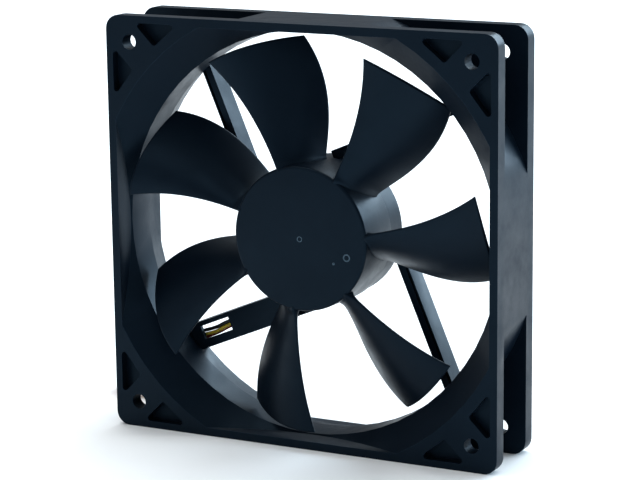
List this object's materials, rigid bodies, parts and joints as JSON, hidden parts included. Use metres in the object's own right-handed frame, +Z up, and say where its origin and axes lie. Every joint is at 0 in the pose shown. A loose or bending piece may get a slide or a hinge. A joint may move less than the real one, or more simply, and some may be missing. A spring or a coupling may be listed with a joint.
{
  "type": "case fan",
  "caption": "Square axial computer case fan: bladed impeller on a round hub, turning in a flanged duct frame with slanted rear struts and a short tied lead.",
  "frame": {"origin": "centre of the square frame, on the rotor's axis, half way between the front and rear faces", "axes": "+X right and +Z up seen from the intake side, which faces -Y; the rotor turns about Y"},
  "size_m": [0.1399, 0.0432, 0.12],
  "materials": {
    "frame_plastic": "moulded, faint sheen, near-black with a blue cast",
    "impeller_plastic": "moulded, fine satin",
    "zinc_steel": "zinc plated",
    "ferrite": "pressed ferrite, dull dark grey",
    "bearing_steel": "polished bearing steel",
    "cage_plastic": "natural nylon",
    "brass": "turned brass",
    "lamination": "punched electrical steel",
    "insulator_plastic": "moulded black nylon",
    "copper": "enamelled copper wire",
    "board": "green solder mask",
    "chip_black": "moulded epoxy",
    "can_metal": "satin can",
    "label_paper": "printed film label with no words",
    "wire_black": "PVC insulation",
    "wire_yellow": "PVC insulation",
    "wire_red": "PVC insulation",
    "lead_cover": "PVC insulation of three twisted wires",
    "tie_black": "plastic band",
    "plug_white": "natural nylon",
    "tin": "tin plated contact"
  },
  "bodies": {
    "frame": {"housing": "frame_plastic", "bearing_tube": "brass", "front_outer_race": "bearing_steel", "rear_outer_race": "bearing_steel", "stator_core": "lamination", "front_insulator": "insulator_plastic", "rear_insulator": "insulator_plastic", "winding_1": "copper", "winding_2": "copper", "winding_3": "copper", "winding_4": "copper", "winding_pin_1": "brass", "winding_pin_2": "brass", "winding_pin_3": "brass", "circuit_board": "board", "hall_sensor": "chip_black", "driver_chip": "chip_black", "capacitor": "can_metal", "resistor_1": "chip_black", "resistor_2": "chip_black", "resistor_3": "chip_black", "rear_label": "label_paper", "lead_black": "wire_black", "lead_yellow": "wire_yellow", "lead_red": "wire_red", "lead_bundle": "lead_cover", "lead_hank": "lead_cover", "lead_tail": "lead_cover", "hank_tie": "tie_black", "plug_housing": "plug_white", "plug_terminal_1": "tin", "plug_terminal_2": "tin", "plug_terminal_3": "tin"},
    "rotor": {"impeller": "impeller_plastic", "rotor_yoke": "zinc_steel", "ring_magnet": "ferrite", "shaft": "bearing_steel", "retaining_clip": "bearing_steel", "preload_spring": "bearing_steel", "front_inner_race": "bearing_steel", "rear_inner_race": "bearing_steel"},
    "front_ball_set": {"front_ball_1": "bearing_steel", "front_ball_2": "bearing_steel", "front_ball_3": "bearing_steel", "front_ball_4": "bearing_steel", "front_ball_5": "bearing_steel", "front_ball_6": "bearing_steel", "front_ball_7": "bearing_steel", "front_ball_cage": "cage_plastic"},
    "rear_ball_set": {"rear_ball_1": "bearing_steel", "rear_ball_2": "bearing_steel", "rear_ball_3": "bearing_steel", "rear_ball_4": "bearing_steel", "rear_ball_5": "bearing_steel", "rear_ball_6": "bearing_steel", "rear_ball_7": "bearing_steel", "rear_ball_cage": "cage_plastic"}
  },
  "joints": [
    {"name": "impeller_spin", "type": "hinge", "parent": "frame", "child": "rotor", "pos_m": [0, 0, 0], "axis": [0, -1, 0], "continuous": true},
    {"name": "front_balls_orbit", "type": "hinge", "parent": "frame", "child": "front_ball_set", "pos_m": [0, -0.0031, 0], "axis": [0, -1, 0], "continuous": true},
    {"name": "rear_balls_orbit", "type": "hinge", "parent": "frame", "child": "rear_ball_set", "pos_m": [0, 0.0079, 0], "axis": [0, -1, 0], "continuous": true}
  ],
  "couplings": [
    {"joint": "front_balls_orbit", "follows": "impeller_spin", "ratio": 0.402},
    {"joint": "rear_balls_orbit", "follows": "impeller_spin", "ratio": 0.402}
  ]
}
